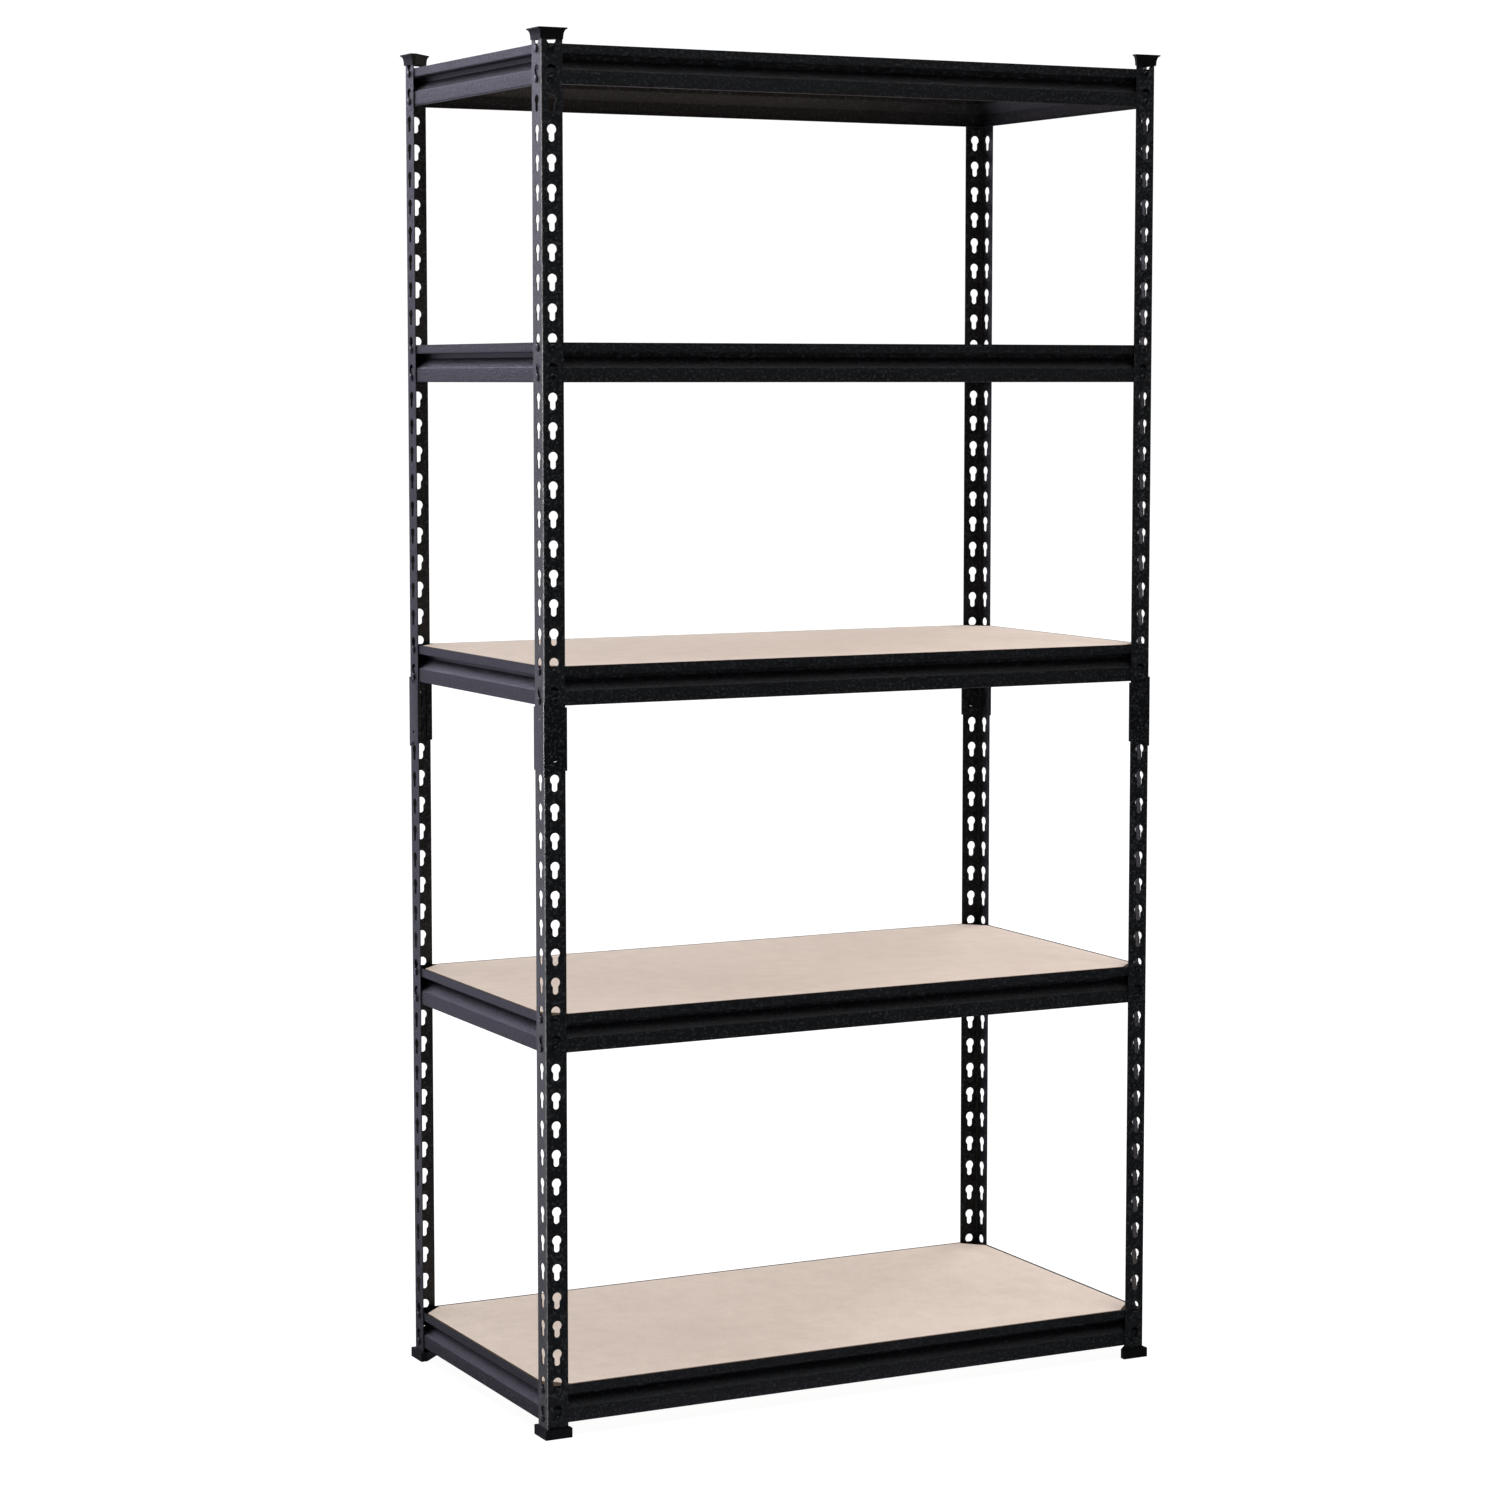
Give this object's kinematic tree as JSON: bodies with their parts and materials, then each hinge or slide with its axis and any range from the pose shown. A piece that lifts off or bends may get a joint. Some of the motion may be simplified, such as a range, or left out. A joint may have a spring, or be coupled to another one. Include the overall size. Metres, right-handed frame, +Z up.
{
  "type": "boltless steel shelving unit",
  "caption": "Free-standing boltless shelving unit: keyholed angle posts joined by sleeve couplers, riveted beams and loose wood-based decks.",
  "frame": {"origin": "centre of the bounding box at floor level, under the four feet", "axes": "+Z up, +X to the right seen from the front, -Y towards the front; the posts run along Z"},
  "size_m": [0.941, 0.481, 1.8426],
  "materials": {
    "steel_paint": "semi-gloss black powder coat with a fine orange-peel texture",
    "deck_board": "raw pinkish-beige particle board",
    "end_plastic": "moulded black plastic"
  },
  "bodies": {
    "frame": {"post_front_left_upper": "steel_paint", "post_front_left_lower": "steel_paint", "post_rear_left_upper": "steel_paint", "post_rear_left_lower": "steel_paint", "post_rear_right_upper": "steel_paint", "post_rear_right_lower": "steel_paint", "post_front_right_upper": "steel_paint", "post_front_right_lower": "steel_paint", "coupler_front_left": "steel_paint", "coupler_rear_left": "steel_paint", "coupler_rear_right": "steel_paint", "coupler_front_right": "steel_paint", "cap_front_left": "end_plastic", "cap_rear_left": "end_plastic", "cap_rear_right": "end_plastic", "cap_front_right": "end_plastic", "foot_front_left": "end_plastic", "foot_rear_left": "end_plastic", "foot_rear_right": "end_plastic", "foot_front_right": "end_plastic"},
    "shelf_1": {"front_beam_1": "steel_paint", "rear_beam_1": "steel_paint", "left_beam_1": "steel_paint", "right_beam_1": "steel_paint", "rivets_1": "steel_paint"},
    "shelf_2": {"front_beam_2": "steel_paint", "rear_beam_2": "steel_paint", "left_beam_2": "steel_paint", "right_beam_2": "steel_paint", "rivets_2": "steel_paint"},
    "shelf_3": {"front_beam_3": "steel_paint", "rear_beam_3": "steel_paint", "left_beam_3": "steel_paint", "right_beam_3": "steel_paint", "rivets_3": "steel_paint"},
    "shelf_4": {"front_beam_4": "steel_paint", "rear_beam_4": "steel_paint", "left_beam_4": "steel_paint", "right_beam_4": "steel_paint", "rivets_4": "steel_paint"},
    "shelf_5": {"front_beam_5": "steel_paint", "rear_beam_5": "steel_paint", "left_beam_5": "steel_paint", "right_beam_5": "steel_paint", "rivets_5": "steel_paint"},
    "deck_1": {"board_1": "deck_board"},
    "deck_2": {"board_2": "deck_board"},
    "deck_3": {"board_3": "deck_board"},
    "deck_4": {"board_4": "deck_board"},
    "deck_5": {"board_5": "deck_board"}
  },
  "joints": [
    {"name": "unhook_1", "type": "slide", "parent": "frame", "child": "shelf_1", "axis": [0, 0, 1], "range_m": [0, 0.0045]},
    {"name": "unhook_2", "type": "slide", "parent": "frame", "child": "shelf_2", "axis": [0, 0, 1], "range_m": [0, 0.012]},
    {"name": "unhook_3", "type": "slide", "parent": "frame", "child": "shelf_3", "axis": [0, 0, 1], "range_m": [0, 0.012]},
    {"name": "unhook_4", "type": "slide", "parent": "frame", "child": "shelf_4", "axis": [0, 0, 1], "range_m": [0, 0.012]},
    {"name": "unhook_5", "type": "slide", "parent": "frame", "child": "shelf_5", "axis": [0, 0, 1], "range_m": [0, 0.012]},
    {"name": "lift_out_1", "type": "slide", "parent": "shelf_1", "child": "deck_1", "axis": [0, 0, 1], "range_m": [0, 0.25]},
    {"name": "lift_out_2", "type": "slide", "parent": "shelf_2", "child": "deck_2", "axis": [0, 0, 1], "range_m": [0, 0.3]},
    {"name": "lift_out_3", "type": "slide", "parent": "shelf_3", "child": "deck_3", "axis": [0, 0, 1], "range_m": [0, 0.33]},
    {"name": "lift_out_4", "type": "slide", "parent": "shelf_4", "child": "deck_4", "axis": [0, 0, 1], "range_m": [0, 0.37]},
    {"name": "lift_out_5", "type": "slide", "parent": "shelf_5", "child": "deck_5", "axis": [0, 0, 1], "range_m": [0, 0.41]}
  ]
}
